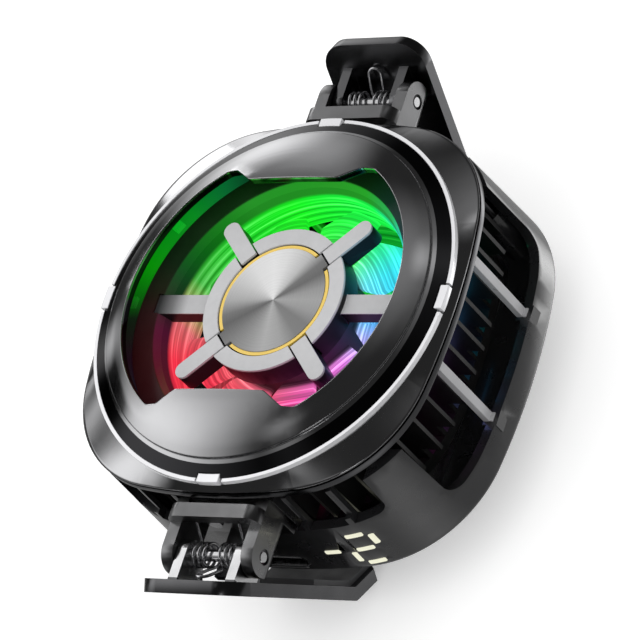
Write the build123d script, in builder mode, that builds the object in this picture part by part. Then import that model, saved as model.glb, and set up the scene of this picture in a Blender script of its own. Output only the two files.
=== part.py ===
from build123d import *
import os
from math import atan2, cos, degrees, hypot, pi, radians, sin, sqrt, tan

os.makedirs("parts", exist_ok=True)

# A clip-on cooling fan for a phone. The phone lies against the cold plate at the back and is held
# by two sprung levers. +Z points out of the fan, +Y to the upper clip, and the jaw tips are at Z = 0.

# Fits and cuts
overrun = 4.0
seat_gap = 0.05
drop_gap = 0.2
pin_fit = 0.03
lever_fit = 0.05
shaft_fit = 0.03

# Rounded square outline of the case: its corner arc and its diagonal reach over its half width
corner_share = 0.62
diagonal_share = 1.122

# Stack from the jaw tips to the front
phone_space = 7.8
pad_thick = 0.8
plate_proud = 0.4
floor_thick = 1.2
flange_thick = 1.0
module_thick = 2.9
sink_base_thick = 1.9
fin_height = 13.0
fin_air = 0.1
band_thick = 1.0
recess_height = 1.6
groove_height = 0.4
flank_height = 1.25
trim_height = 0.75

pad_z = phone_space
cold_z = pad_z + pad_thick
back_z = cold_z + plate_proud
floor_z = back_z + floor_thick
flange_top_z = floor_z + flange_thick
sink_z = flange_top_z + module_thick
fin_z = sink_z + sink_base_thick
fin_top_z = fin_z + fin_height
band_z = fin_top_z + fin_air
band_top_z = band_z + band_thick
front_z = band_z - recess_height
flank_z = band_top_z + groove_height
trim_z = flank_z + flank_height

# Case
back_half = 30.2
front_taper = 0.6
band_set_back = 0.1
case_wall = 1.4
back_fillet = 1.1
groove_set_back = 0.6
skirt_set_back = 0.1
skirt_wall = 1.0
skirt_depth = 1.5
front_half = back_half - front_taper
band_half = front_half - band_set_back

# Case screws and their bosses
boss_set_in = 8.3
boss_r = 2.1
boss_height = 9.8
screw_r = 0.95
screw_hole_r = 1.0
screw_head_r = 1.9
screw_head_hole_r = 2.0
screw_head_thick = 0.7
screw_sink = 0.8
screw_length = 16.8
boss_place = front_half - boss_set_in

# Vents
side_vent_set_in = 0.8
side_vent_rise = 4.1
side_vent_r = 2.5
end_vent_corner_r = 1.4
end_rib_set_back = 0.7
end_vent_rise = 10.0
end_rib_thick = 0.8
end_rib_shares = (0.314, 0.548)
bar_thick = 1.4
bar_depth = 1.15
bar_inset = 0.15
strip_height = 0.25
strip_set_back = 0.1
sill_thick = 2.0
sill_side = 0.5
side_vent_half = boss_place - side_vent_set_in
end_vent_end = boss_place

# Cooling stack
pad_set_in = 0.8
pad_corner_r = 3.4
plate_set_in = 3.2
plate_corner_r = 3.8
flange_set_in = 0.3
flange_corner_r = 6.0
gasket_set_in = 1.0
gasket_corner_r = 5.0
gasket_wall = 4.9
gasket_gap = 0.1
fin_overhang = 2.75
fin_wall_gap = 1.05
fin_thick = 0.6
fin_step = 2.5
fin_duct_gap = 0.3
fin_corner_gap = 0.9
fin_shares = (0.0, 0.138, 0.302, 0.435, 0.564, 0.685)
fin_half = front_half - case_wall - fin_wall_gap
sink_half = fin_half - fin_overhang
flange_side = 2 * (boss_place - flange_set_in)
gasket_side = flange_side - 2 * gasket_set_in
module_side = gasket_side - 2 * (gasket_wall + gasket_gap)
plate_side = flange_side - 2 * plate_set_in
pad_side = plate_side - 2 * pad_set_in

# Bezel
trim_set_back = 0.65
trim_width = 0.5
bevel_width = 2.95
bevel_start = 0.7
bevel_rise = 1.15
dome_step = 0.4
dome_lug_gap = 1.3
dome_rise = 2.85
dome_bulge = 0.62
bezel_wall = 1.3
bezel_bore_set_in = 1.95
window_set_in = 6.35
pocket_share = 0.83333333
lug_step = 1.95
lug_side = 3.1
lug_root_share = 0.47111111
lug_fillet = 1.2
pocket_fillet = 1.5
lip_wall = 0.9
tab_length = 3.6
tab_proud = 0.15
tab_width = 1.3
tab_height = 1.0
tab_break = 0.45
trim_outer_r = band_half - trim_set_back
bevel_inner_r = trim_outer_r - bevel_width
bezel_bore_r = trim_outer_r - bezel_bore_set_in
window_r = trim_outer_r - window_set_in
pocket_half = pocket_share * window_r
lug_reach = pocket_half - lug_step
lug_root_half = lug_root_share * window_r
lug_tip_half = lug_root_half - lug_side
dome_inner_r = lug_reach - dome_lug_gap
tab_outer_r = trim_outer_r + tab_proud

# Duct, light guide and lights
duct_flange_lap = 0.9
duct_flange_thick = 0.9
ledge_width = 2.3
cone_width = 0.7
cone_drop = 1.3
mouth_lip = 0.6
guide_height = 2.1
duct_side = 0.8
duct_wall = 0.9
duct_step = 1.0
duct_depth = 4.6
led_board_gap = 0.2
led_board_bore_gap = 0.3
led_board_thick = 0.8
led_count = 12
led_radial = 1.2
led_tangent = 1.6
led_height = 0.6
duct_flange_r = window_r + duct_flange_lap
ledge_r = window_r - ledge_width
cone_r = ledge_r - cone_width
mouth_r = cone_r - mouth_lip
duct_outer_r = ledge_r + duct_side
guide_outer_r = duct_outer_r - duct_wall
fin_inner_r = duct_outer_r + fin_duct_gap
led_board_inner_r = duct_flange_r + led_board_gap
led_board_outer_r = bezel_bore_r - led_board_bore_gap

# Hub and fan guard
hub_front_rise = 1.9
ring_width = 2.35
ring_outer_r = 11.3
ring_face_thick = 1.0
ring_skirt_wall = 0.65
ring_depth = 3.8
guard_web_thick = 1.0
guard_depth = 2.6
guard_wall = 1.4
disc_gap = 0.75
disc_thick = 0.9
disc_tab_reach = 0.8
disc_tab_width = 2.4
accent_width = 0.5
accent_thick = 0.8
accent_break = 3.4
spoke_width = 2.6
spoke_depth = 3.0
spoke_start_in = 0.35
spoke_tip_share = 0.59210526
notch_width = 3.1
beam_width = 3.0
beam_depth = 2.4
beam_drop = 1.3
beam_end_gap = 0.1
ring_inner_r = ring_outer_r - ring_width
disc_r = ring_inner_r - disc_gap
accent_inner_r = disc_r + seat_gap
spoke_start_r = ring_inner_r + spoke_start_in
spoke_tip_r = ring_outer_r + spoke_tip_share * (mouth_r - ring_outer_r)

# Rotor and motor
tip_gap = 0.5
hub_set_in = 1.7
hub_wall = 1.0
hub_height = 8.4
hub_top_air = 0.5
hub_fillet = 0.8
blade_count = 9
blade_thick = 0.8
blade_camber = 0.9
root_chord = 9.0
root_pitch = 43.0
tip_chord = 11.2
tip_pitch = 33.0
blade_top_drop = 0.3
shaft_r = 1.0
shaft_grip = 0.4
shaft_floor_gap = 0.3
magnet_wall = 1.2
magnet_height = 5.0
magnet_inset = 0.6
motor_base_set_in = 0.7
motor_base_thick = 1.0
sleeve_r = 2.2
sleeve_foot_r = 3.6
sleeve_foot = 0.9
sleeve_height = 8.9
core_air = 0.5
core_ring = 1.2
core_shoe = 1.0
core_height = 4.0
core_rise = 3.4
tooth_count = 6
tooth_width = 1.4
shoe_angle = 42.0
coil_width = 3.0
coil_radial = 1.9
coil_over = 0.7
coil_gap = 0.05
tip_r = mouth_r - tip_gap
hub_r = ring_outer_r - hub_set_in
motor_base_r = hub_r - motor_base_set_in
core_r = hub_r - hub_wall - magnet_wall - core_air

# Inlet, control board and readout, all at the lower end
socket_width = 8.94
socket_height = 3.16
socket_r = 1.5
socket_wall = 0.3
socket_back_wall = 0.5
socket_set_back = 0.3
socket_length = 7.0
socket_rise = 0.04
inlet_gap = 0.12
tongue_width = 6.7
tongue_thick = 0.7
tongue_set_back = 0.6
board_left = 12.0
board_right = 7.6
board_set_back = 3.6
board_depth = 4.7
board_thick = 0.6
post_r = 1.0
post_inset = 1.7
post_back = 2.9
module_gap = 0.1
module_width = 9.3
module_depth = 1.6
module_height = 7.2
digit_x = 15.0
digit_rise = 3.98
digit_half_width = 2.15
digit_half_height = 3.4
segment_stroke = 0.8
segment_r = 0.2
segment_bar = 2.6
segment_post = 2.3
minus_x = 9.8
minus_length = 2.4
segment_gap = 0.04
segment_proud = 0.05
socket_mouth_y = back_half - socket_set_back
board_outer_y = socket_mouth_y - board_set_back

# Clip bracket
pin_stand_off = 7.3
pin_z = 25.2
pin_r = 0.85
pin_head_gap = 0.1
pin_chamfer = 0.15
bore_sink_r = 1.1
bore_sink = 0.4
bracket_half = 7.65
bracket_wall = 1.9
bracket_bend_r = 1.9
lobe_r = 2.9
bar_stand_off = 1.8
crossbar_width = 2.1
crossbar_thick = 1.8
crossbar_air = 0.1
plate_set_back = 0.7
plate_thick = 1.4
plate_foot_z = 20.8
block_thick = 1.5
pocket_gap = 0.05
stop_half = 2.4
stop_thick = 1.0
stop_gap = 0.15
bracket_screw_place = 3.4
bracket_screw_rise = 3.2
bracket_screw_r = 0.6
bracket_screw_head_r = 1.1
bracket_screw_head = 0.6
bracket_screw_length = 2.7
plate_out = front_half - plate_set_back
bar_inner_out = plate_out + bar_stand_off
pin_out = plate_out + pin_stand_off

# Clip lever and jaw pad
lever_half = 8.5
lever_thick = 1.9
lever_inner = 3.45
lever_slope = 26.0
lever_front_z = 29.8
lever_bend_z = 4.0
hook_angle = 58.0
lever_bend_r = 1.2
lever_corner_r = 3.9
hook_chamfer = 2.0
lug_outer = 5.6
lug_thick = 1.55
lug_round_r = 2.0
lug_sink = 0.6
liner_thick = 0.8
liner_side = 1.0
liner_top = 13.0
liner_end = 0.7

# Torsion spring
wire_r = 0.225
coil_r = 1.65
coil_outer_x = 3.62
coil_inner_x = 0.72
leg_angle = 214.9
leg_length = 4.35
turn_steps = 4
strand_angle = 317.0
loop_reach = 4.8
coil_turns = 3
loop_half = 1.05
straight_angle = 0.01


def arc_sizes(half):
    corner_r = corner_share * half
    corner_c = (diagonal_share * half - corner_r) / sqrt(2)
    side_r = (corner_r**2 - corner_c**2 - (corner_c - half) ** 2) / (2 * (corner_c - half + corner_r))
    lean = atan2(corner_c, corner_c - half + side_r)
    near = half - side_r + side_r * cos(lean)
    far = side_r * sin(lean)
    return corner_r, corner_c, side_r, near, far


def eight_arcs(near, far, reach, crown):
    # A closed outline of eight arcs that meet at the points (near, far) and their mirrors
    with BuildSketch() as outline:
        with BuildLine():
            for turn in range(4):
                spin = 90 * turn
                start = Vector(near, far).rotate(Axis.Z, spin)
                middle = Vector(reach, reach).rotate(Axis.Z, spin)
                end = Vector(far, near).rotate(Axis.Z, spin)
                top = Vector(0, crown).rotate(Axis.Z, spin)
                last = Vector(-far, near).rotate(Axis.Z, spin)
                ThreePointArc(start, middle, end)
                ThreePointArc(end, top, last)
        make_face()
    return outline.sketch


def rounded_square(half):
    corner_r, corner_c, side_r, near, far = arc_sizes(half)
    return eight_arcs(near, far, diagonal_share * half / sqrt(2), half)


def matching_circle(radius):
    # A circle in eight arcs, at the same angles as the rounded square, so that a loft runs true
    corner_r, corner_c, side_r, near, far = arc_sizes(radius)
    polar = atan2(far, near)
    return eight_arcs(radius * cos(polar), radius * sin(polar), radius / sqrt(2), radius)


def edge_at(half, across):
    # Distance of the rounded square's edge from the centre line, across from its middle
    corner_r, corner_c, side_r, near, far = arc_sizes(half)
    if abs(across) < far:
        return half - side_r + sqrt(side_r**2 - across**2)
    return corner_c + sqrt(corner_r**2 - (abs(across) - corner_c) ** 2)


def case_form(grow, start_z):
    # The tapered case between two levels, grown or shrunk by one amount
    taper = (back_half - front_half) * (start_z - back_z) / (front_z - back_z)
    with BuildPart() as form:
        with BuildSketch(Plane.XY.offset(start_z)):
            add(rounded_square(back_half - taper + grow))
        with BuildSketch(Plane.XY.offset(front_z)):
            add(rounded_square(front_half + grow))
        loft(ruled=True)
    return form.part


def boss_spots():
    return GridLocations(2 * boss_place, 2 * boss_place, 2, 2)


case_outer = case_form(0, back_z)
case_inner = case_form(-case_wall, floor_z)


# Contact pad
with BuildPart() as contact_pad:
    with BuildSketch(Plane.XY.offset(pad_z)):
        RectangleRounded(pad_side, pad_side, pad_corner_r)
    extrude(amount=pad_thick)
contact_pad.part.label = "contact_pad"
export_step(contact_pad.part, "parts/contact_pad.step")

# Cold plate, a boss through the back of the case on a wider flange inside
with BuildPart() as cold_plate:
    with BuildSketch(Plane.XY.offset(cold_z)):
        RectangleRounded(plate_side, plate_side, plate_corner_r)
    extrude(amount=floor_z - cold_z)
    with BuildSketch(Plane.XY.offset(floor_z)):
        RectangleRounded(flange_side, flange_side, flange_corner_r)
    extrude(amount=flange_thick)
cold_plate.part.label = "cold_plate"
export_step(cold_plate.part, "parts/cold_plate.step")

# Thermoelectric module
with BuildPart() as tec_module:
    with BuildSketch(Plane.XY.offset(flange_top_z)):
        Rectangle(module_side, module_side)
    extrude(amount=module_thick)
tec_module.part.label = "tec_module"
export_step(tec_module.part, "parts/tec_module.step")

# Foam gasket round the module
with BuildPart() as tec_gasket:
    with BuildSketch(Plane.XY.offset(flange_top_z)):
        RectangleRounded(gasket_side, gasket_side, gasket_corner_r)
        Rectangle(module_side + 2 * gasket_gap, module_side + 2 * gasket_gap, mode=Mode.SUBTRACT)
    extrude(amount=module_thick)
tec_gasket.part.label = "tec_gasket"
export_step(tec_gasket.part, "parts/tec_gasket.step")

# Heat sink: a base plate and a crown of fins round the fan, square to each side of the case
with BuildPart() as heat_sink:
    with BuildSketch(Plane.XY.offset(fin_z)):
        for share in fin_shares:
            for place in {share * fin_half, -share * fin_half}:
                start = max(sqrt(fin_inner_r**2 - place**2), abs(place) + fin_corner_gap)
                length = edge_at(fin_half, place) - start
                for spin in (0, 90, 180, 270):
                    centre = Vector(start + length / 2, place).rotate(Axis.Z, spin)
                    with Locations(Location(centre, (0, 0, spin))):
                        Rectangle(length, fin_thick)
    extrude(amount=fin_height)
    # The fins stand clear of the case beyond the edge of the base
    with BuildSketch(Plane.XY.offset(fin_z)):
        add(rounded_square(fin_half + overrun))
        add(rounded_square(sink_half), mode=Mode.SUBTRACT)
    extrude(amount=fin_step, mode=Mode.SUBTRACT)
    with BuildSketch(Plane.XY.offset(sink_z)):
        add(rounded_square(sink_half))
    extrude(amount=sink_base_thick)
heat_sink.part.label = "heat_sink"
export_step(heat_sink.part, "parts/heat_sink.step")


def digit_segments(clear):
    # The segments of the readout, a minus sign and a two, in the plane of the lower wall
    digit_z = floor_z + digit_rise
    half_w = digit_half_width
    half_h = digit_half_height
    bar = segment_bar + 2 * clear
    post = segment_post + 2 * clear
    stroke = segment_stroke + 2 * clear
    with BuildSketch() as marks:
        with Locations((digit_x, digit_z), (digit_x, digit_z + half_h), (digit_x, digit_z - half_h)):
            RectangleRounded(bar, stroke, segment_r)
        with Locations((digit_x + half_w, digit_z + half_h / 2), (digit_x - half_w, digit_z - half_h / 2)):
            RectangleRounded(stroke, post, segment_r)
        with Locations((minus_x, digit_z)):
            RectangleRounded(minus_length + 2 * clear, stroke, segment_r)
    return marks.sketch


pocket_half_width = bracket_half + pocket_gap
socket_z = floor_z + socket_rise + socket_height / 2
bar_y = fin_shares[2] * fin_half
bar_outer_x = back_half - case_wall - bar_inset
bar_inner_x = bar_outer_x - bar_depth
side_vent_z = floor_z + side_vent_rise
end_vent_z = floor_z + end_vent_rise
boss_top_z = floor_z + boss_height
rib_places = [share * front_half for share in end_rib_shares]
vent_edges = [pocket_half_width]
for rib_place in rib_places:
    vent_edges += [rib_place - end_rib_thick / 2, rib_place + end_rib_thick / 2]
vent_edges.append(end_vent_end)
slot_width = end_vent_end - pocket_half_width

# The room that the outer wall leaves in front of the ribs of the end vents
with BuildPart() as rib_relief:
    with BuildSketch(Plane.XY.offset(end_vent_z + end_vent_corner_r)):
        with GridLocations(2 * pocket_half_width + slot_width, 2 * fin_half, 2, 2):
            Rectangle(slot_width, 2 * overrun)
    extrude(amount=fin_height)
    add(case_form(-end_rib_set_back, back_z), mode=Mode.SUBTRACT)

# Rear shell: the tapered case with its vents, its bosses and the seats of the two brackets
with BuildPart() as rear_shell:
    add(case_outer)
    fillet(rear_shell.edges().group_by(Axis.Z)[0], radius=back_fillet)
    add(case_inner, mode=Mode.SUBTRACT)
    with BuildSketch(Plane.XY.offset(floor_z)):
        with boss_spots():
            Circle(boss_r)
    extrude(amount=boss_height)
    # Blocks behind the pockets of the brackets
    with BuildSketch(Plane.XY.offset(floor_z)):
        with GridLocations(0, 2 * plate_out - block_thick, 1, 2):
            Rectangle(2 * pocket_half_width, block_thick)
    extrude(amount=front_z - floor_z)
    # Sills under the bars of the side vents
    with BuildSketch(Plane.XY.offset(side_vent_z - sill_thick)):
        with GridLocations(2 * bar_outer_x, 2 * bar_y, 2, 2):
            Rectangle(2 * bar_depth, bar_thick + 2 * sill_side)
    extrude(amount=sill_thick)
    # Posts under the control board
    with BuildSketch(Plane.XY.offset(floor_z)):
        with Locations(
            (-board_left + post_inset, -board_outer_y + post_back),
            (board_right - post_inset, -board_outer_y + post_back),
        ):
            Circle(post_r)
    extrude(amount=socket_rise + socket_height)
    for sense in (1, -1):
        # Side vents, open to the recess in front
        with BuildSketch(Plane.YZ.offset(sense * (boss_place + boss_r + seat_gap))) as side_vent:
            with Locations((0, side_vent_z)):
                Rectangle(2 * side_vent_half, fin_height + overrun, align=(Align.CENTER, Align.MIN))
            fillet(side_vent.vertices().group_by(Axis.Z)[0], radius=side_vent_r)
        extrude(amount=sense * back_half, mode=Mode.SUBTRACT)
        # End vents between thin ribs
        with BuildSketch(Plane.XZ.offset(sense * (fin_half - overrun))) as end_vent:
            for number in range(0, len(vent_edges), 2):
                start = vent_edges[number]
                width = vent_edges[number + 1] - start
                for side in (1, -1):
                    with Locations((side * (start + width / 2), end_vent_z)):
                        Rectangle(width, fin_height, align=(Align.CENTER, Align.MIN))
            vent_ends = [point for point in end_vent.vertices() if abs(point.X) > end_vent_end - seat_gap]
            fillet([point for point in vent_ends if point.Z < end_vent_z + seat_gap], radius=end_vent_corner_r)
        extrude(amount=sense * (overrun + overrun), mode=Mode.SUBTRACT)
        # Pocket for the bracket
        with BuildSketch(Plane.XZ.offset(sense * plate_out)):
            with Locations((0, plate_foot_z - pocket_gap)):
                Rectangle(2 * pocket_half_width, fin_height, align=(Align.CENTER, Align.MIN))
        extrude(amount=sense * overrun, mode=Mode.SUBTRACT)
        with BuildSketch(Plane.XZ.offset(sense * plate_out)):
            with Locations((0, plate_foot_z + bracket_screw_rise)):
                with GridLocations(2 * bracket_screw_place, 0, 2, 1):
                    Circle(bracket_screw_r)
        extrude(amount=-sense * block_thick, mode=Mode.SUBTRACT)
    add(rib_relief.part, mode=Mode.SUBTRACT)
    # Opening for the cold plate
    with BuildSketch(Plane.XY.offset(back_z)):
        RectangleRounded(plate_side + 2 * drop_gap, plate_side + 2 * drop_gap, plate_corner_r + drop_gap)
    extrude(amount=floor_thick, mode=Mode.SUBTRACT)
    # Inlet and readout windows in the lower wall
    with BuildSketch(Plane.XZ.offset(board_outer_y - module_depth)):
        with Locations((0, socket_z)):
            RectangleRounded(socket_width + 2 * inlet_gap, socket_height + 2 * inlet_gap, socket_r + inlet_gap)
        add(digit_segments(segment_gap))
    extrude(amount=back_half, mode=Mode.SUBTRACT)
    # Screw holes from the back
    with BuildSketch(Plane.XY.offset(back_z)):
        with boss_spots():
            Circle(screw_head_hole_r)
    extrude(amount=screw_sink, mode=Mode.SUBTRACT)
    with BuildSketch(Plane.XY.offset(back_z)):
        with boss_spots():
            Circle(screw_hole_r)
    extrude(amount=boss_top_z - back_z, mode=Mode.SUBTRACT)
rear_shell.part.label = "rear_shell"
export_step(rear_shell.part, "parts/rear_shell.step")

# Bars that cross the side vents and turn out over the sill
with BuildPart() as vent_bars:
    with BuildSketch(Plane.XY.offset(side_vent_z)):
        with GridLocations(2 * bar_inner_x + bar_depth, 2 * bar_y, 2, 2):
            Rectangle(bar_depth, bar_thick)
    extrude(amount=band_z - side_vent_z)
    strip_length = edge_at(front_half, bar_y) - strip_set_back - bar_inner_x
    with BuildSketch(Plane.XY.offset(side_vent_z)):
        with GridLocations(2 * bar_inner_x + strip_length, 2 * bar_y, 2, 2):
            Rectangle(strip_length, bar_thick)
    extrude(amount=strip_height)
vent_bars.part.label = "vent_bars"
export_step(vent_bars.part, "parts/vent_bars.step")

# Mid frame: the band round the case, a plate with the bore of the duct, corner skirts and legs
skirt_half = front_half - case_wall - skirt_set_back
with BuildPart() as mid_frame:
    with BuildSketch(Plane.XY.offset(band_z)):
        add(rounded_square(band_half))
    extrude(amount=band_thick)
    with BuildSketch(Plane.XY.offset(front_z - skirt_depth)):
        add(rounded_square(skirt_half))
        add(rounded_square(skirt_half - skirt_wall), mode=Mode.SUBTRACT)
        Rectangle(2 * end_vent_end, 4 * back_half, mode=Mode.SUBTRACT)
        Rectangle(4 * back_half, 2 * side_vent_half, mode=Mode.SUBTRACT)
    extrude(amount=recess_height + skirt_depth)
    with BuildSketch(Plane.XY.offset(front_z)):
        with GridLocations(0, 2 * plate_out - block_thick - pocket_gap, 1, 2):
            Rectangle(2 * pocket_half_width, block_thick / 2)
    extrude(amount=recess_height)
    with BuildSketch(Plane.XY.offset(boss_top_z)):
        with boss_spots():
            Circle(boss_r)
        add(rounded_square(skirt_half), mode=Mode.INTERSECT)
    extrude(amount=band_z - boss_top_z)
    with BuildSketch(Plane.XY.offset(band_z)):
        Circle(duct_outer_r + seat_gap)
    extrude(amount=band_thick, mode=Mode.SUBTRACT)
    with BuildSketch(Plane.XY.offset(boss_top_z)):
        with boss_spots():
            Circle(screw_hole_r)
    extrude(amount=screw_length - boss_top_z + back_z + screw_sink, mode=Mode.SUBTRACT)
mid_frame.part.label = "mid_frame"
export_step(mid_frame.part, "parts/mid_frame.step")

# Case screws
with BuildPart() as case_screws:
    with BuildSketch(Plane.XY.offset(back_z + screw_sink - screw_head_thick)):
        with boss_spots():
            Circle(screw_head_r)
    extrude(amount=screw_head_thick)
    with BuildSketch(Plane.XY.offset(back_z + screw_sink)):
        with boss_spots():
            Circle(screw_r)
    extrude(amount=screw_length - seat_gap)
case_screws.part.label = "case_screws"
export_step(case_screws.part, "parts/case_screws.step")


def window_outline():
    # The round window with a lug and two pockets at each end
    with BuildSketch() as window:
        with BuildLine():
            Polyline(
                (window_r, pocket_half),
                (lug_root_half, pocket_half),
                (lug_tip_half, lug_reach),
                (-lug_tip_half, lug_reach),
                (-lug_root_half, pocket_half),
                (-window_r, pocket_half),
                (-window_r, -pocket_half),
                (-lug_root_half, -pocket_half),
                (-lug_tip_half, -lug_reach),
                (lug_tip_half, -lug_reach),
                (lug_root_half, -pocket_half),
                (window_r, -pocket_half),
                close=True,
            )
        make_face()
        Circle(window_r, mode=Mode.INTERSECT)
        pocket_corners = [point for point in window.vertices() if abs(point.X) > lug_root_half + seat_gap]
        fillet(pocket_corners, radius=pocket_fillet)
        lug_corners = [point for point in window.vertices() if abs(point.X) < lug_root_half + seat_gap]
        fillet(lug_corners, radius=lug_fillet)
    return window.sketch


def tab_marks(clear):
    # The four places of the bright tabs in the edge of the bezel
    with BuildSketch() as marks:
        Circle(tab_outer_r + clear)
        Circle(tab_outer_r - tab_width - clear, mode=Mode.SUBTRACT)
        with BuildSketch(mode=Mode.PRIVATE) as cross:
            Rectangle(2 * back_half, tab_length + 2 * clear)
            Rectangle(tab_length + 2 * clear, 2 * back_half)
        add(cross.sketch, mode=Mode.INTERSECT)
    return marks.sketch


trim_inner_r = trim_outer_r - trim_width
bevel_z = trim_z + bevel_start
shoulder_z = bevel_z + bevel_rise
dome_z = shoulder_z + dome_step
crown_z = dome_z + dome_rise
ledge_z = band_top_z + duct_flange_thick


def dome_section(base_z, axis_r):
    # Half section of the filled dome, between its outer curve and a base level
    with BuildSketch(Plane.XZ) as section:
        with BuildLine():
            Polyline(
                (dome_inner_r, crown_z),
                (axis_r, crown_z),
                (axis_r, base_z),
                (trim_inner_r, base_z),
                (trim_inner_r, bevel_z),
                (bevel_inner_r, shoulder_z),
                (bevel_inner_r, dome_z),
            )
            SagittaArc((bevel_inner_r, dome_z), (dome_inner_r, crown_z), -dome_bulge)
        make_face()
    return section


# Bezel: the rounded square drawn up to a circle, with a domed rim and the window
with BuildPart() as bezel_hollow:
    with BuildSketch(Plane.XZ) as hollow:
        add(dome_section(band_top_z - bezel_wall, -bezel_wall).sketch)
        offset(amount=-bezel_wall, kind=Kind.INTERSECTION)
        with Locations((0, band_top_z)):
            Rectangle(bezel_bore_r, crown_z, align=(Align.MIN, Align.CENTER), mode=Mode.INTERSECT)
    revolve(axis=Axis.Z)
    with BuildSketch(Plane.XY.offset(ledge_z + seat_gap)):
        add(window_outline())
        offset(amount=lip_wall, kind=Kind.ARC)
    extrude(amount=crown_z, mode=Mode.SUBTRACT)
with BuildPart() as front_bezel:
    with BuildSketch(Plane.XY.offset(flank_z)):
        add(rounded_square(band_half))
    with BuildSketch(Plane.XY.offset(trim_z)):
        add(matching_circle(trim_outer_r))
    loft(ruled=True)
    with BuildSketch(Plane.XY.offset(band_top_z)):
        add(rounded_square(band_half - groove_set_back))
    extrude(amount=groove_height)
    with BuildSketch(Plane.XZ):
        add(dome_section(trim_z, 0).sketch)
    revolve(axis=Axis.Z)
    add(bezel_hollow.part, mode=Mode.SUBTRACT)
    with BuildSketch(Plane.XY.offset(band_top_z)):
        add(window_outline())
    extrude(amount=crown_z, mode=Mode.SUBTRACT)
    with BuildSketch(Plane.XY.offset(trim_z)):
        add(tab_marks(seat_gap))
    extrude(amount=crown_z, mode=Mode.SUBTRACT)
front_bezel.part.label = "front_bezel"
export_step(front_bezel.part, "parts/front_bezel.step")

# Trim ring, broken at the four tabs
with BuildPart() as trim_ring:
    with BuildSketch(Plane.XY.offset(trim_z)):
        Circle(trim_outer_r)
        Circle(trim_inner_r, mode=Mode.SUBTRACT)
        add(tab_marks(tab_break), mode=Mode.SUBTRACT)
    extrude(amount=trim_height)
trim_ring.part.label = "trim_ring"
export_step(trim_ring.part, "parts/trim_ring.step")

with BuildPart() as ring_tabs:
    with BuildSketch(Plane.XY.offset(trim_z)):
        add(tab_marks(0))
    extrude(amount=tab_height)
ring_tabs.part.label = "ring_tabs"
export_step(ring_tabs.part, "parts/ring_tabs.step")

# Duct: a flange on the frame plate, a cone down to the light guide and a wall round the blades
guide_top_z = ledge_z - cone_drop
guide_z = guide_top_z - guide_height
duct_step_z = guide_z - duct_step
beam_top_z = ledge_z + ring_face_thick - beam_drop
with BuildPart() as fan_duct:
    with BuildSketch(Plane.XZ):
        with BuildLine():
            Polyline(
                (ledge_r, ledge_z),
                (duct_flange_r, ledge_z),
                (duct_flange_r, band_top_z),
                (duct_outer_r, band_top_z),
                (duct_outer_r, duct_step_z),
                (mouth_r + duct_wall, duct_step_z),
                (mouth_r + duct_wall, duct_step_z - duct_depth),
                (mouth_r, duct_step_z - duct_depth),
                (mouth_r, guide_z),
                (guide_outer_r + seat_gap, guide_z),
                (guide_outer_r + seat_gap, guide_top_z),
                (cone_r, guide_top_z),
                close=True,
            )
        make_face()
    revolve(axis=Axis.Z)
    # Slots that take the ends of the two level spokes
    with BuildSketch(Plane.XY.offset(beam_top_z - beam_depth)):
        Rectangle(2 * duct_outer_r, beam_width + 2 * seat_gap)
    extrude(amount=beam_depth + beam_drop, mode=Mode.SUBTRACT)
fan_duct.part.label = "fan_duct"
export_step(fan_duct.part, "parts/fan_duct.step")

with BuildPart() as light_guide:
    with BuildSketch(Plane.XZ):
        with BuildLine():
            Polyline(
                (mouth_r, guide_z),
                (guide_outer_r, guide_z),
                (guide_outer_r, guide_top_z),
                (cone_r, guide_top_z),
                close=True,
            )
        make_face()
    revolve(axis=Axis.Z)
    with BuildSketch(Plane.XY.offset(beam_top_z - beam_depth)):
        Rectangle(2 * duct_outer_r, beam_width + 2 * seat_gap)
    extrude(amount=beam_depth, mode=Mode.SUBTRACT)
light_guide.part.label = "light_guide"
export_step(light_guide.part, "parts/light_guide.step")

with BuildPart() as led_board:
    with BuildSketch(Plane.XY.offset(band_top_z)):
        Circle(led_board_outer_r)
        Circle(led_board_inner_r, mode=Mode.SUBTRACT)
    extrude(amount=led_board_thick)
led_board.part.label = "led_board"
export_step(led_board.part, "parts/led_board.step")

with BuildPart() as leds:
    with BuildSketch(Plane.XY.offset(band_top_z + led_board_thick)):
        with PolarLocations(led_board_inner_r + led_radial, led_count):
            Rectangle(led_radial, led_tangent)
    extrude(amount=led_height)
leds.part.label = "leds"
export_step(leds.part, "parts/leds.step")

# Fan guard: a cup over the motor with two level spokes to the duct and four free diagonal ones
hub_front_z = ledge_z + ring_face_thick
guard_half_z = hub_front_z - spoke_depth
diagonals = PolarLocations(0, 4, start_angle=45)
with BuildPart() as fan_guard:
    with BuildSketch(Plane.XY.offset(ledge_z - guard_depth)):
        Circle(ring_outer_r - ring_skirt_wall - seat_gap)
    extrude(amount=guard_depth)
    with BuildSketch(Plane.XY.offset(beam_top_z - beam_depth)):
        Rectangle(2 * (duct_outer_r - beam_end_gap), beam_width)
    extrude(amount=beam_depth)
    with BuildSketch(Plane.XY.offset(guard_half_z)):
        with PolarLocations(0, 4, start_angle=45):
            with Locations(((spoke_start_r + spoke_tip_r + spoke_width / 2) / 2, 0)):
                RectangleRounded(spoke_tip_r + spoke_width / 2 - spoke_start_r, spoke_width, spoke_width / 2 - seat_gap)
            with Locations(((spoke_start_r + spoke_tip_r) / 2, 0)):
                Rectangle(spoke_tip_r - spoke_start_r, spoke_width)
    extrude(amount=spoke_depth)
    with BuildSketch(Plane.XY.offset(ledge_z - guard_depth)):
        Circle(ring_outer_r - ring_skirt_wall - seat_gap - guard_wall)
    extrude(amount=guard_depth - guard_web_thick, mode=Mode.SUBTRACT)
fan_guard.part.label = "fan_guard"
export_step(fan_guard.part, "parts/fan_guard.step")

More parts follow.
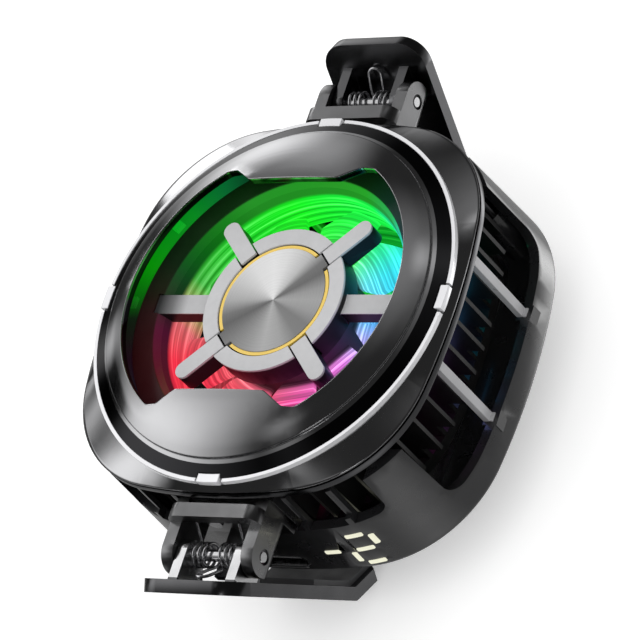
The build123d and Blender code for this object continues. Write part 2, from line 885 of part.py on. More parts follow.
# Hub ring: a flat ring with a skirt, notched for the spokes
with BuildPart() as hub_ring:
    with BuildSketch(Plane.XY.offset(ledge_z)):
        Circle(ring_outer_r)
        Circle(ring_inner_r, mode=Mode.SUBTRACT)
    extrude(amount=ring_face_thick)
    with BuildSketch(Plane.XY.offset(hub_front_z - ring_depth)):
        Circle(ring_outer_r)
        Circle(ring_outer_r - ring_skirt_wall, mode=Mode.SUBTRACT)
    extrude(amount=ring_depth - ring_face_thick)
    with BuildSketch(Plane.XY.offset(guard_half_z)):
        with PolarLocations(ring_outer_r, 4, start_angle=45):
            Rectangle(2 * (ring_outer_r - ring_inner_r) + ring_skirt_wall, notch_width)
    extrude(amount=spoke_depth, mode=Mode.SUBTRACT)
    with BuildSketch(Plane.XY.offset(beam_top_z - beam_depth)):
        Rectangle(2 * duct_outer_r, beam_width + 2 * seat_gap)
    extrude(amount=beam_depth, mode=Mode.SUBTRACT)
hub_ring.part.label = "hub_ring"
export_step(hub_ring.part, "parts/hub_ring.step")

# Hub disc with four small tabs towards the spokes
with BuildPart() as hub_disc:
    with BuildSketch(Plane.XY.offset(ledge_z)):
        Circle(disc_r)
        with PolarLocations(0, 2, start_angle=45):
            Rectangle(2 * (disc_r + disc_tab_reach), disc_tab_width)
    extrude(amount=disc_thick)
hub_disc.part.label = "hub_disc"
export_step(hub_disc.part, "parts/hub_disc.step")

with BuildPart() as accent_arcs:
    with BuildSketch(Plane.XY.offset(ledge_z)):
        Circle(accent_inner_r + accent_width)
        Circle(accent_inner_r, mode=Mode.SUBTRACT)
        with PolarLocations(0, 2, start_angle=45):
            Rectangle(2 * (disc_r + ring_outer_r), accent_break, mode=Mode.SUBTRACT)
    extrude(amount=accent_thick)
accent_arcs.part.label = "accent_arcs"
export_step(accent_arcs.part, "parts/accent_arcs.step")

# Motor base on the heat sink, with the sleeve that carries the shaft
base_top_z = fin_z + motor_base_thick
with BuildPart() as motor_base:
    with BuildSketch(Plane.XY.offset(fin_z)):
        Circle(motor_base_r)
    extrude(amount=motor_base_thick)
motor_base.part.label = "motor_base"
export_step(motor_base.part, "parts/motor_base.step")

shaft_z = base_top_z + sleeve_foot + shaft_floor_gap
with BuildPart() as bearing_sleeve:
    with BuildSketch(Plane.XY.offset(base_top_z)):
        Circle(sleeve_foot_r)
    extrude(amount=sleeve_foot)
    with BuildSketch(Plane.XY.offset(base_top_z)):
        Circle(sleeve_r)
    extrude(amount=sleeve_height)
    with BuildSketch(Plane.XY.offset(base_top_z + sleeve_foot)):
        Circle(shaft_r + shaft_fit)
    extrude(amount=sleeve_height, mode=Mode.SUBTRACT)
bearing_sleeve.part.label = "bearing_sleeve"
export_step(bearing_sleeve.part, "parts/bearing_sleeve.step")

core_z = base_top_z + core_rise
with BuildPart() as stator_core:
    with BuildSketch(Plane.XY.offset(core_z)):
        Circle(core_r)
        Circle(core_r - core_shoe, mode=Mode.SUBTRACT)
        with PolarLocations(0, tooth_count, start_angle=180 / tooth_count):
            with BuildSketch(mode=Mode.PRIVATE) as wedge:
                with BuildLine():
                    Polyline(
                        (0, 0),
                        (2 * core_r, core_r * tan(radians(180 / tooth_count - shoe_angle / 2)) * 2),
                        (2 * core_r, -core_r * tan(radians(180 / tooth_count - shoe_angle / 2)) * 2),
                        close=True,
                    )
                make_face()
            add(wedge.sketch, mode=Mode.SUBTRACT)
        with PolarLocations((sleeve_r + core_r - core_shoe / 2) / 2, tooth_count):
            Rectangle(core_r - core_shoe / 2 - sleeve_r, tooth_width)
        Circle(sleeve_r + core_ring)
        Circle(sleeve_r, mode=Mode.SUBTRACT)
    extrude(amount=core_height)
stator_core.part.label = "stator_core"
export_step(stator_core.part, "parts/stator_core.step")

coil_middle_r = sqrt((core_r - core_shoe - coil_gap) ** 2 - (coil_width / 2) ** 2) - coil_radial / 2
with BuildPart() as stator_coils:
    with BuildSketch(Plane.XY.offset(core_z - coil_over)):
        with PolarLocations(coil_middle_r, tooth_count):
            Rectangle(coil_radial, coil_width)
    extrude(amount=core_height + 2 * coil_over)
    with BuildSketch(Plane.XY.offset(core_z - coil_gap)):
        with PolarLocations(coil_middle_r, tooth_count):
            Rectangle(coil_radial, tooth_width + 2 * coil_gap)
    extrude(amount=core_height + 2 * coil_gap, mode=Mode.SUBTRACT)
stator_coils.part.label = "stator_coils"
export_step(stator_coils.part, "parts/stator_coils.step")

# Rotor: a cup over the motor with curved blades
hub_top_z = ledge_z - guard_depth - hub_top_air
hub_z = hub_top_z - hub_height
blade_top_z = hub_top_z - blade_top_drop
with BuildPart() as blade:
    root_r = hub_r - hub_wall / 2
    for radius, chord, pitch in ((root_r, root_chord, root_pitch), (tip_r, tip_chord, tip_pitch)):
        middle_z = blade_top_z - root_chord * sin(radians(root_pitch)) / 2 - blade_thick / 2
        section_plane = Plane(origin=(radius, 0, middle_z), x_dir=(0, 1, 0), z_dir=(1, 0, 0))
        with BuildSketch(section_plane.rotated((0, 0, pitch))):
            with BuildLine():
                ThreePointArc(
                    (-chord / 2, blade_thick / 2),
                    (0, blade_camber + blade_thick / 2),
                    (chord / 2, blade_thick / 2),
                )
                Line((chord / 2, blade_thick / 2), (chord / 2, -blade_thick / 2))
                ThreePointArc(
                    (chord / 2, -blade_thick / 2),
                    (0, blade_camber - blade_thick / 2),
                    (-chord / 2, -blade_thick / 2),
                )
                Line((-chord / 2, -blade_thick / 2), (-chord / 2, blade_thick / 2))
            make_face()
    loft()
    with BuildSketch(Plane.XY.offset(hub_z)):
        Circle(tip_r)
        Circle(root_r, mode=Mode.SUBTRACT)
    extrude(amount=hub_height, mode=Mode.INTERSECT)
with BuildPart() as fan_rotor:
    with BuildSketch(Plane.XY.offset(hub_z)):
        Circle(hub_r)
    extrude(amount=hub_height)
    fillet(fan_rotor.edges().group_by(Axis.Z)[-1], radius=hub_fillet)
    with BuildSketch(Plane.XY.offset(hub_z)):
        Circle(hub_r - hub_wall)
    extrude(amount=hub_height - hub_wall, mode=Mode.SUBTRACT)
    with BuildSketch(Plane.XY.offset(hub_top_z - hub_wall)):
        Circle(shaft_r)
    extrude(amount=shaft_grip, mode=Mode.SUBTRACT)
    with PolarLocations(0, blade_count):
        add(blade.part)
fan_rotor.part.label = "fan_rotor"
export_step(fan_rotor.part, "parts/fan_rotor.step")

with BuildPart() as rotor_shaft:
    with BuildSketch(Plane.XY.offset(shaft_z)):
        Circle(shaft_r)
    extrude(amount=hub_top_z - hub_wall + shaft_grip - shaft_z)
rotor_shaft.part.label = "rotor_shaft"
export_step(rotor_shaft.part, "parts/rotor_shaft.step")

with BuildPart() as rotor_magnet:
    with BuildSketch(Plane.XY.offset(hub_z + magnet_inset)):
        Circle(hub_r - hub_wall)
        Circle(hub_r - hub_wall - magnet_wall, mode=Mode.SUBTRACT)
    extrude(amount=magnet_height)
rotor_magnet.part.label = "rotor_magnet"
export_step(rotor_magnet.part, "parts/rotor_magnet.step")

# Inlet socket under the control board, with its tongue
with BuildPart() as usb_socket:
    with BuildSketch(Plane.XZ.offset(socket_mouth_y)):
        with Locations((0, socket_z)):
            RectangleRounded(socket_width, socket_height, socket_r)
    extrude(amount=-socket_length)
    with BuildSketch(Plane.XZ.offset(socket_mouth_y)):
        with Locations((0, socket_z)):
            RectangleRounded(socket_width - 2 * socket_wall, socket_height - 2 * socket_wall, socket_r - socket_wall)
    extrude(amount=socket_back_wall - socket_length, mode=Mode.SUBTRACT)
usb_socket.part.label = "usb_socket"
export_step(usb_socket.part, "parts/usb_socket.step")

with BuildPart() as usb_tongue:
    with BuildSketch(Plane.XZ.offset(socket_mouth_y - tongue_set_back)):
        with Locations((0, socket_z)):
            Rectangle(tongue_width, tongue_thick)
    extrude(amount=tongue_set_back + socket_back_wall - socket_length)
usb_tongue.part.label = "usb_tongue"
export_step(usb_tongue.part, "parts/usb_tongue.step")

board_z = floor_z + socket_rise + socket_height
with BuildPart() as control_board:
    with BuildSketch(Plane.XY.offset(board_z)):
        with Locations(((board_right - board_left) / 2, -board_outer_y)):
            Rectangle(board_left + board_right, board_depth, align=(Align.CENTER, Align.MIN))
    extrude(amount=board_thick)
control_board.part.label = "control_board"
export_step(control_board.part, "parts/control_board.step")

with BuildPart() as display_module:
    with BuildSketch(Plane.XY.offset(floor_z)):
        with Locations((board_right + module_gap, -board_outer_y)):
            Rectangle(module_width, module_depth, align=(Align.MIN, Align.MIN))
    extrude(amount=module_height)
display_module.part.label = "display_module"
export_step(display_module.part, "parts/display_module.step")

with BuildPart() as display_segments:
    with BuildSketch(Plane.XZ.offset(board_outer_y)):
        add(digit_segments(0))
    extrude(amount=back_half)
    add(case_form(segment_proud, back_z), mode=Mode.INTERSECT)
display_segments.part.label = "display_segments"
export_step(display_segments.part, "parts/display_segments.step")


# Side profile of the lever in its own plane, where X runs outward from the case and Y to the front
slope = radians(lever_slope)
hook = radians(hook_angle)
along = Vector(sin(slope), cos(slope))
plate_in = Vector(-cos(slope), sin(slope))
hook_down = Vector(-sin(hook), -cos(hook))
hook_in = Vector(-cos(hook), sin(hook))
miter = (plate_in + hook_in) / (1 + plate_in.dot(hook_in))
pin_spot = Vector(pin_out, pin_z)


def on_plate(height, depth):
    # Point of the plate at a height, and a depth in from its inner face towards the outer one
    foot = pin_spot - plate_in * (lever_inner + depth)
    return foot + along * ((height - foot.Y) / along.Y)


front_outer = on_plate(lever_front_z, lever_thick)
front_inner = front_outer + plate_in * lever_thick
bend_outer = on_plate(lever_bend_z, lever_thick)
bend_inner = bend_outer + miter * lever_thick
tip_outer = bend_outer + hook_down * (lever_bend_z / cos(hook))
tip_inner = tip_outer + hook_in * lever_thick
crossbar_z = band_top_z - crossbar_air - crossbar_thick


def biarc(start, leave, end, arrive):
    # Two arcs that join two points with given directions
    chord = end - start
    turn = 2 - 2 * leave.dot(arrive)
    reach = 2 * chord.dot(leave + arrive)
    share = (sqrt(reach**2 + 4 * turn * chord.dot(chord)) - reach) / (2 * turn)
    corner = start + leave * share
    middle = (corner + end - arrive * share) / 2
    TangentArc(start, middle, tangent=leave)
    TangentArc(middle, end, tangent=middle - corner)


def spring_stations():
    # Points and directions of one half of the spring, from its leg through the coil to the loop
    total = 360 * coil_turns + strand_angle - leg_angle
    steps = round(total * turn_steps / 360)
    pitch_rise = (coil_inner_x - coil_outer_x) / radians(total)
    stations = []
    for step in range(steps + 1):
        angle = radians(leg_angle + total * step / steps)
        across = coil_outer_x + (coil_inner_x - coil_outer_x) * step / steps
        place = Vector(pin_out + coil_r * cos(angle), pin_z + coil_r * sin(angle), across)
        heading = Vector(-coil_r * sin(angle), coil_r * cos(angle), pitch_rise).normalized()
        stations.append((place, heading))
    first, first_heading = stations[0]
    stations.insert(0, (first - first_heading * leg_length, first_heading))
    strand = radians(strand_angle)
    heading = Vector(-sin(strand), cos(strand))
    coil_end = Vector(pin_out + coil_r * cos(strand), pin_z + coil_r * sin(strand), loop_half)
    stations.append((coil_end + heading * (loop_reach - loop_half), heading))
    return stations


right_half = spring_stations()
left_half = [(Vector(p.X, p.Y, -p.Z), Vector(-d.X, -d.Y, d.Z)) for p, d in reversed(right_half)]

for sense, end_name in ((1, "top"), (-1, "bottom")):
    side_plane = Plane(origin=(0, 0, 0), x_dir=(0, sense, 0), z_dir=(sense, 0, 0))
    wall_plane = Plane(origin=(0, sense * plate_out, 0), x_dir=(-sense, 0, 0), z_dir=(0, sense, 0))

    # Bracket: a channel bent from sheet, with two ears for the pin, on a plate screwed to the case
    with BuildPart() as clip_bracket:
        with BuildSketch(wall_plane) as channel:
            with Locations((0, pin_z - lobe_r)):
                Rectangle(
                    2 * bracket_half,
                    crossbar_z + crossbar_thick - pin_z + lobe_r,
                    align=(Align.CENTER, Align.MIN),
                )
            fillet(channel.vertices().group_by(Axis.Z)[-1], radius=bracket_bend_r)
            with Locations((0, pin_z - lobe_r)):
                Rectangle(
                    2 * (bracket_half - bracket_wall),
                    crossbar_z - pin_z + lobe_r,
                    align=(Align.CENTER, Align.MIN),
                    mode=Mode.SUBTRACT,
                )
        extrude(amount=pin_out + lobe_r - plate_out)
        with BuildSketch(side_plane):
            with Locations((plate_out, pin_z)):
                Rectangle(pin_out - plate_out, 2 * lobe_r, align=(Align.MIN, Align.CENTER))
            with Locations((pin_out, pin_z)):
                Circle(lobe_r)
            with Locations((bar_inner_out, pin_z)):
                Rectangle(crossbar_width, 2 * lobe_r, align=(Align.MIN, Align.MIN))
        extrude(amount=bracket_half, both=True, mode=Mode.INTERSECT)
        with BuildSketch(wall_plane):
            with Locations((0, plate_foot_z)):
                Rectangle(2 * bracket_half, front_z - plate_foot_z, align=(Align.CENTER, Align.MIN))
        extrude(amount=plate_thick)
        # The tongue that the lever rests on when it is closed
        stop_reach = on_plate(plate_foot_z, 0).X - stop_gap - plate_out
        with BuildSketch(wall_plane):
            with Locations((0, plate_foot_z)):
                Rectangle(2 * stop_half, stop_thick, align=(Align.CENTER, Align.MIN))
        extrude(amount=stop_reach)
        with BuildSketch(side_plane):
            with Locations(pin_spot):
                Circle(pin_r + pin_fit)
        extrude(amount=bracket_half, both=True, mode=Mode.SUBTRACT)
        for face_sense in (1, -1):
            with BuildSketch(side_plane.offset(face_sense * bracket_half)):
                with Locations(pin_spot):
                    Circle(bore_sink_r)
            extrude(amount=-face_sense * bore_sink, mode=Mode.SUBTRACT)
        with BuildSketch(wall_plane):
            with Locations((0, plate_foot_z + bracket_screw_rise)):
                with GridLocations(2 * bracket_screw_place, 0, 2, 1):
                    Circle(bracket_screw_r)
        extrude(amount=plate_thick, mode=Mode.SUBTRACT)
    clip_bracket.part.label = "clip_bracket_" + end_name
    export_step(clip_bracket.part, "parts/clip_bracket_" + end_name + ".step")

    with BuildPart() as bracket_screws:
        with BuildSketch(wall_plane.offset(plate_thick)):
            with Locations((0, plate_foot_z + bracket_screw_rise)):
                with GridLocations(2 * bracket_screw_place, 0, 2, 1):
                    Circle(bracket_screw_head_r)
        extrude(amount=bracket_screw_head)
        with BuildSketch(wall_plane.offset(plate_thick)):
            with Locations((0, plate_foot_z + bracket_screw_rise)):
                with GridLocations(2 * bracket_screw_place, 0, 2, 1):
                    Circle(bracket_screw_r)
        extrude(amount=-bracket_screw_length)
    bracket_screws.part.label = "bracket_screws_" + end_name
    export_step(bracket_screws.part, "parts/bracket_screws_" + end_name + ".step")

    with BuildPart() as clip_pin:
        with BuildSketch(side_plane):
            with Locations(pin_spot):
                Circle(pin_r)
        extrude(amount=bracket_half - pin_head_gap, both=True)
        chamfer(clip_pin.edges().filter_by(GeomType.CIRCLE), length=pin_chamfer)
    clip_pin.part.label = "clip_pin_" + end_name
    export_step(clip_pin.part, "parts/clip_pin_" + end_name + ".step")

    # Lever: a plate with a hooked end and two lugs on the pin
    with BuildPart() as clip_lever:
        with BuildSketch(side_plane):
            with BuildLine():
                Polyline(front_outer, bend_outer, tip_outer, tip_inner, bend_inner, front_inner, close=True)
            make_face()
        extrude(amount=lever_half, both=True)
        bends = clip_lever.edges().filter_by(Axis.X).sort_by(Axis.Z)[2:4]
        fillet(bends, radius=lever_bend_r)
        plate_axis = Axis((0, 0, 0), (0, -sense * plate_in.X, -plate_in.Y))
        fillet(clip_lever.edges().filter_by(plate_axis), radius=lever_corner_r)
        hook_axis = Axis((0, 0, 0), (0, -sense * hook_in.X, -hook_in.Y))
        chamfer(clip_lever.edges().filter_by(hook_axis), length=hook_chamfer)
        with BuildSketch(side_plane.offset(-lug_outer)):
            with Locations(pin_spot):
                Circle(lug_round_r)
            with BuildLine():
                Polyline(
                    pin_spot + Vector(0, lug_round_r),
                    on_plate(pin_z + lug_round_r, lug_sink),
                    pin_spot - along * lug_round_r - plate_in * (lever_inner + lug_sink),
                    pin_spot - along * lug_round_r,
                    pin_spot,
                    close=True,
                )
            make_face()
        lugs = extrude(amount=lug_thick)
        mirror(lugs, about=Plane.YZ)
        with BuildSketch(side_plane):
            with Locations(pin_spot):
                Circle(pin_r + lever_fit)
        extrude(amount=lug_outer, both=True, mode=Mode.SUBTRACT)
    clip_lever.part.label = "clip_lever_" + end_name
    export_step(clip_lever.part, "parts/clip_lever_" + end_name + ".step")

    # Soft liner on the inside of the lever and its hook
    with BuildPart() as jaw_pad:
        liner_start = on_plate(liner_top, 0)
        liner_stop = tip_inner - hook_down * liner_end
        with BuildSketch(side_plane):
            with BuildLine():
                Polyline(
                    liner_start,
                    bend_inner,
                    liner_stop,
                    liner_stop + hook_in * liner_thick,
                    bend_inner + miter * liner_thick,
                    liner_start + plate_in * liner_thick,
                    close=True,
                )
            make_face()
        extrude(amount=lever_half - liner_side, both=True)
        bends = jaw_pad.edges().filter_by(Axis.X).sort_by(Axis.Z)[2:4]
        fillet(bends[0], radius=lever_bend_r)
        fillet(bends[1], radius=lever_bend_r - liner_thick)
    jaw_pad.part.label = "jaw_pad_" + end_name
    export_step(jaw_pad.part, "parts/jaw_pad_" + end_name + ".step")

    # Double torsion spring: legs under the crossbar, a coil on each side and a loop on the lever
    with BuildPart() as clip_spring:
        halves = [
            [(side_plane.from_local_coords(place), side_plane.from_local_coords(heading)) for place, heading in half]
            for half in (right_half, left_half)
        ]
        with BuildLine() as wire_path:
            for half in halves:
                for (start, leave), (end, arrive) in zip(half, half[1:]):
                    if leave.get_angle(arrive) < straight_angle:
                        Line(start, end)
                    else:
                        biarc(start, leave, end, arrive)
            loop_start, loop_heading = halves[0][-1]
            loop_end = halves[1][0][0]
            ThreePointArc(loop_start, (loop_start + loop_end) / 2 + loop_heading * loop_half, loop_end)
        wire_length = sum(edge.length for edge in wire_path.edges())
        with BuildSketch(Plane(origin=halves[0][0][0], z_dir=halves[0][0][1])):
            Circle(wire_r)
        sweep(path=wire_path.wires()[0])
    clip_spring.part.label = "clip_spring_" + end_name
    export_step(clip_spring.part, "parts/clip_spring_" + end_name + ".step")
    print("spring volume", round(clip_spring.part.volume, 3), "of", round(pi * wire_r**2 * wire_length, 3))
    for piece in (clip_bracket, bracket_screws, clip_pin, clip_lever, jaw_pad, clip_spring):
        print(piece.part.label, piece.part.bounding_box(), round(piece.part.volume, 2), len(piece.part.solids()))

# Least gap of the spring wire to itself, measured on points along it
points = []
travelled = 0
for edge in wire_path.wires()[0].edges():
    samples = max(2, round(edge.length / wire_r))
    points += [(travelled + edge.length * k / samples, edge @ (k / samples)) for k in range(samples)]
    travelled += edge.length
gaps = [
    (place - other).length
    for number, (run, place) in enumerate(points)
    for other_run, other in points[number + 1 :]
    if other_run - run > pi * coil_r
]
print("least gap of the spring to itself", round(min(gaps) - 2 * wire_r, 3))
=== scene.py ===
import bpy
from math import cos, pi, radians, sin
from mathutils import Matrix, Vector


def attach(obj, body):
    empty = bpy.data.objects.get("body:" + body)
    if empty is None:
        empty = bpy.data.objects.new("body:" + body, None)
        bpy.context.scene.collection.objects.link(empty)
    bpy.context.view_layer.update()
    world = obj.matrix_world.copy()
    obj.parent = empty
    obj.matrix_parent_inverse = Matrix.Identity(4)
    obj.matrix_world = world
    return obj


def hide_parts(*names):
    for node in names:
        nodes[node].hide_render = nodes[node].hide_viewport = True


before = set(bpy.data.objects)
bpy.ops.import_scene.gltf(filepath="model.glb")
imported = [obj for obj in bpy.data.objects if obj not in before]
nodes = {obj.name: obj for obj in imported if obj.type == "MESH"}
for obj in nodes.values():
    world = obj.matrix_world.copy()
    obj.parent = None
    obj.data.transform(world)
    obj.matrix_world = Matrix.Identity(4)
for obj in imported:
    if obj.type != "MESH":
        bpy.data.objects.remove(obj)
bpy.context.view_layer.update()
bpy.ops.object.select_all(action="DESELECT")
print("frame loaded:", len(nodes), "nodes")

mm = 0.001  # lengths below are in millimetres, unless a note says metres

# The camera, as fitted to the photograph: its place in metres and its three axes
view = {
    "lens": 253.1,
    "sensor": 36.0,
    "place": (0.36449, -0.25347, 0.46314),
    "right": (0.8143, 0.2930, -0.5011),
    "up": (-0.0015, 0.8643, 0.5029),
    "back": (0.5805, -0.4087, 0.7043),
    "clip": (0.01, 20.0),
}
bpy.ops.object.camera_add()
camera = bpy.context.object
camera.name = "photoCamera"
camera.data.lens = view["lens"]
camera.data.sensor_width = view["sensor"]
camera.data.clip_start, camera.data.clip_end = view["clip"]
facing = Matrix((view["right"], view["up"], view["back"])).transposed().to_4x4()
camera.matrix_world = Matrix.Translation(view["place"]) @ facing
bpy.context.scene.camera = camera
bpy.context.scene.view_settings.view_transform = "Standard"
print("camera placed")


# A value that is a socket is linked to the new node, and any other is set on it
def addNode(tree, kind, values=None, **settings):
    node = tree.nodes.new(kind)
    for key, value in settings.items():
        setattr(node, key, value)
    for key, value in (values or {}).items():
        if isinstance(value, bpy.types.NodeSocket):
            tree.links.new(value, node.inputs[key])
        else:
            node.inputs[key].default_value = value
    return node


def calc(tree, operation, first, second=0.0):
    return addNode(tree, "ShaderNodeMath", {0: first, 1: second}, operation=operation).outputs[0]


def times(tree, first, second):
    return calc(tree, "MULTIPLY", first, second)


def noise(tree, vector, scale, detail=2.0):
    values = {"Vector": vector, "Scale": scale, "Detail": detail}
    return addNode(tree, "ShaderNodeTexNoise", values).outputs["Fac"]


def mapRange(tree, value, source, target=(0.0, 1.0), **settings):
    values = {"Value": value, "From Min": source[0], "From Max": source[1], "To Min": target[0], "To Max": target[1]}
    return addNode(tree, "ShaderNodeMapRange", values, **settings).outputs["Result"]


# Four channels for a colour or a grey, while a socket stays as it is
def channels(colour):
    if isinstance(colour, bpy.types.NodeSocket):
        return colour
    return (*colour, 1) if isinstance(colour, tuple) else (colour, colour, colour, 1)


def ramp(tree, level, stops):
    node = addNode(tree, "ShaderNodeValToRGB", {"Fac": level})
    elements = node.color_ramp.elements
    while len(elements) > 1:
        elements.remove(elements[-1])
    elements[0].position = stops[0][0]
    elements[0].color = channels(stops[0][1])
    for place, colour in stops[1:]:
        elements.new(place).color = channels(colour)
    return node.outputs["Color"]


def mixColour(tree, factor, first, second, blend="MIX"):
    values = {0: factor, 6: channels(first), 7: channels(second)}
    return addNode(tree, "ShaderNodeMix", values, data_type="RGBA", blend_type=blend).outputs[2]


def multiply(tree, first, second):
    return mixColour(tree, 1.0, first, second, "MULTIPLY")


def scaled(colour, factor):
    return tuple(min(1.0, part * factor) for part in colour)


def objectPlace(tree):
    return addNode(tree, "ShaderNodeTexCoord").outputs["Object"]


def placeParts(tree):
    return addNode(tree, "ShaderNodeSeparateXYZ", {"Vector": objectPlace(tree)}).outputs


def radiusOf(tree, parts):
    squares = calc(tree, "ADD", times(tree, parts["X"], parts["X"]), times(tree, parts["Y"], parts["Y"]))
    return calc(tree, "SQRT", squares)


# Share of a turn about the fan's axis, anticlockwise from the right of the window
def turnOf(tree, parts):
    angle = calc(tree, "ARCTAN2", parts["Y"], parts["X"])
    return calc(tree, "FRACT", calc(tree, "DIVIDE", angle, 2 * pi))


# A grey or colour read along a length, from stops in millimetres inside a span
def levelAlong(tree, length, span, stops):
    share = mapRange(tree, length, (span[0] * mm, span[1] * mm))
    return ramp(tree, share, [((place - span[0]) / (span[1] - span[0]), grey) for place, grey in stops])


noiseSpan = (0.3, 0.7)  # the noise levels where the lower and the upper value stand


def cloudy(tree, scale, low, high, detail=3.0):
    level = noise(tree, objectPlace(tree), scale, detail)
    return ramp(tree, level, ((noiseSpan[0], low), (noiseSpan[1], high)))


# What is the same all over a surface is set on the shader itself
shaderSockets = {
    "rough": "Roughness", "metal": "Metallic", "gloss": "Specular IOR Level", "ior": "IOR", "coat": "Coat Weight",
    "coatRough": "Coat Roughness", "coatIor": "Coat IOR", "brushing": "Anisotropic", "strength": "Emission Strength",
}


def startFinish(name, look):
    material = bpy.data.materials.new(name)
    material.use_nodes = True
    tree = material.node_tree
    shader = tree.nodes["Principled BSDF"]
    for key, socket in shaderSockets.items():
        if key in look:
            shader.inputs[socket].default_value = look[key]
    return material, tree, shader


# Solid surfaces: a second colour covers what lies in its bands and on the wall of the window. On the bezel it is
# painted shade, dark in the groove band and on the window's wall; on the lever it is the steel of the lugs
plainLook = {
    "spread": 0.12, "cloud": 90.0, "rough": 0.3, "wear": 260.0, "wearDetail": 4.0, "wearSpan": (0.8, 1.25),
    "metal": 0.0, "ior": 1.5, "coat": 0.0, "coatRough": 0.05, "coatIor": 1.5,
    "grain": 2400.0, "grainDepth": 0.03, "lipSamples": 8,
}
looks = {
    "blackChrome": {
        "colour": (0.50, 0.50, 0.51), "metal": 1.0, "rough": 0.10, "spread": 0.04, "lip": 0.22,
        # The bezel's dark second colour is painted shade, in its groove band and on the wall of the window
        "second": {
            "colour": (0.03, 0.03, 0.032), "within": (("Z", 32.48, 33.32),),
            "wall": {"radius": (18.2, 22.6), "crown": (36.25, 35.05), "outer": 22.8},
        },
    },
    "brightTrim": {"colour": (0.86, 0.86, 0.88), "metal": 0.35, "rough": 0.14, "spread": 0.04},
    "bandMetal": {"colour": (0.12, 0.12, 0.125), "metal": 1.0, "rough": 0.22, "spread": 0.06},
    "shellGloss": {"colour": (0.012, 0.012, 0.013), "rough": 0.30, "coat": 1.0, "coatRough": 0.07},
    "barPaint": {"colour": (0.42, 0.42, 0.43), "metal": 0.2, "rough": 0.34, "bump": 0.2},
    "ductBlack": {"colour": (0.010, 0.010, 0.011), "rough": 0.25, "coat": 0.6},
    "circuitGreen": {"colour": (0.02, 0.09, 0.045), "rough": 0.4, "bump": 0.3},
    "yellowAccent": {"colour": (0.90, 0.62, 0.10), "rough": 0.25, "coat": 0.6, "spread": 0.05},
    "brassTurned": {"colour": (0.62, 0.45, 0.20), "metal": 1.0, "rough": 0.28},
    "steelTurned": {"colour": (0.52, 0.52, 0.53), "metal": 1.0, "rough": 0.25},
    "copperWire": {"colour": (0.50, 0.22, 0.10), "metal": 0.8, "rough": 0.35, "bump": 0.4},
    "magnetGrey": {"colour": (0.06, 0.06, 0.06), "rough": 0.6, "bump": 0.3},
    "ceramicWhite": {"colour": (0.82, 0.82, 0.80), "rough": 0.5, "bump": 0.3},
    "foamBlack": {"colour": (0.03, 0.03, 0.03), "rough": 0.9, "bump": 0.6, "grain": 1400.0},
    "plateMetal": {"colour": (0.66, 0.66, 0.68), "metal": 1.0, "rough": 0.3, "bump": 0.2},
    "siliconeGrey": {"colour": (0.05, 0.05, 0.053), "rough": 0.55, "bump": 0.35, "grain": 1600.0},
    "bracketMetal": {"colour": (0.29, 0.29, 0.295), "metal": 1.0, "rough": 0.30, "bump": 0.25, "coat": 0.3},
    "pinChrome": {"colour": (0.80, 0.80, 0.81), "metal": 1.0, "rough": 0.18},
    "leverBlack": {"colour": (0.16, 0.16, 0.165), "metal": 1.0, "rough": 0.20},
    "springChrome": {"colour": (0.78, 0.78, 0.80), "metal": 1.0, "rough": 0.16},
}
# The steel lugs at the pin belong to the lever's own mesh
looks["leverLugged"] = {
    **looks["leverBlack"],
    "second": {"colour": (0.85, 0.85, 0.86), "within": (("X", 2.0, 6.4), ("Y", 33.0, 40.7), ("Z", 22.5, 28.5))},
}


# One where a place is inside every band, and a band counts on both sides of the middle
def insideBands(tree, parts, bands):
    inside = 1.0
    for axis, low, high in bands:
        size = calc(tree, "ABSOLUTE", parts[axis])
        inside = times(tree, inside, calc(tree, "GREATER_THAN", size, low * mm))
        inside = times(tree, inside, calc(tree, "LESS_THAN", size, high * mm))
    return inside


# One on the wall of the window, which is what lies below its crowned lip: where the bezel's painted shade goes
def onWall(tree, parts, wall):
    radius = radiusOf(tree, parts)
    crown = mapRange(tree, radius, [r * mm for r in wall["radius"]], [z * mm for z in wall["crown"]])
    within = calc(tree, "LESS_THAN", radius, wall["outer"] * mm)
    return times(tree, within, calc(tree, "LESS_THAN", parts["Z"], crown))


def surfaceFinish(name, look):
    look = {**plainLook, **look}
    material, tree, shader = startFinish(name, look)
    low, high = scaled(look["colour"], 1 - look["spread"]), scaled(look["colour"], 1 + look["spread"])
    shade = cloudy(tree, look["cloud"], low, high)
    if "second" in look:
        second = look["second"]
        parts = placeParts(tree)
        covered = insideBands(tree, parts, second["within"])
        if "wall" in second:
            covered = calc(tree, "MAXIMUM", covered, onWall(tree, parts, second["wall"]))
        shade = mixColour(tree, covered, shade, second["colour"])
    tree.links.new(shade, shader.inputs["Base Color"])
    wear = noise(tree, objectPlace(tree), look["wear"], look["wearDetail"])
    roughSpan = [min(1.0, look["rough"] * share) for share in look["wearSpan"]]
    tree.links.new(mapRange(tree, wear, noiseSpan, roughSpan), shader.inputs["Roughness"])
    if "bump" in look:
        grain = noise(tree, objectPlace(tree), look["grain"])
        values = {"Strength": look["bump"], "Distance": look["grainDepth"] * mm, "Height": grain}
        tree.links.new(addNode(tree, "ShaderNodeBump", values).outputs["Normal"], shader.inputs["Normal"])
    if "lip" in look:
        lip = addNode(tree, "ShaderNodeBevel", {"Radius": look["lip"] * mm}, samples=look["lipSamples"])
        tree.links.new(lip.outputs["Normal"], shader.inputs["Normal"])
    return material


finishes = {name: surfaceFinish(name, look) for name, look in looks.items()}
print("solid surfaces made")
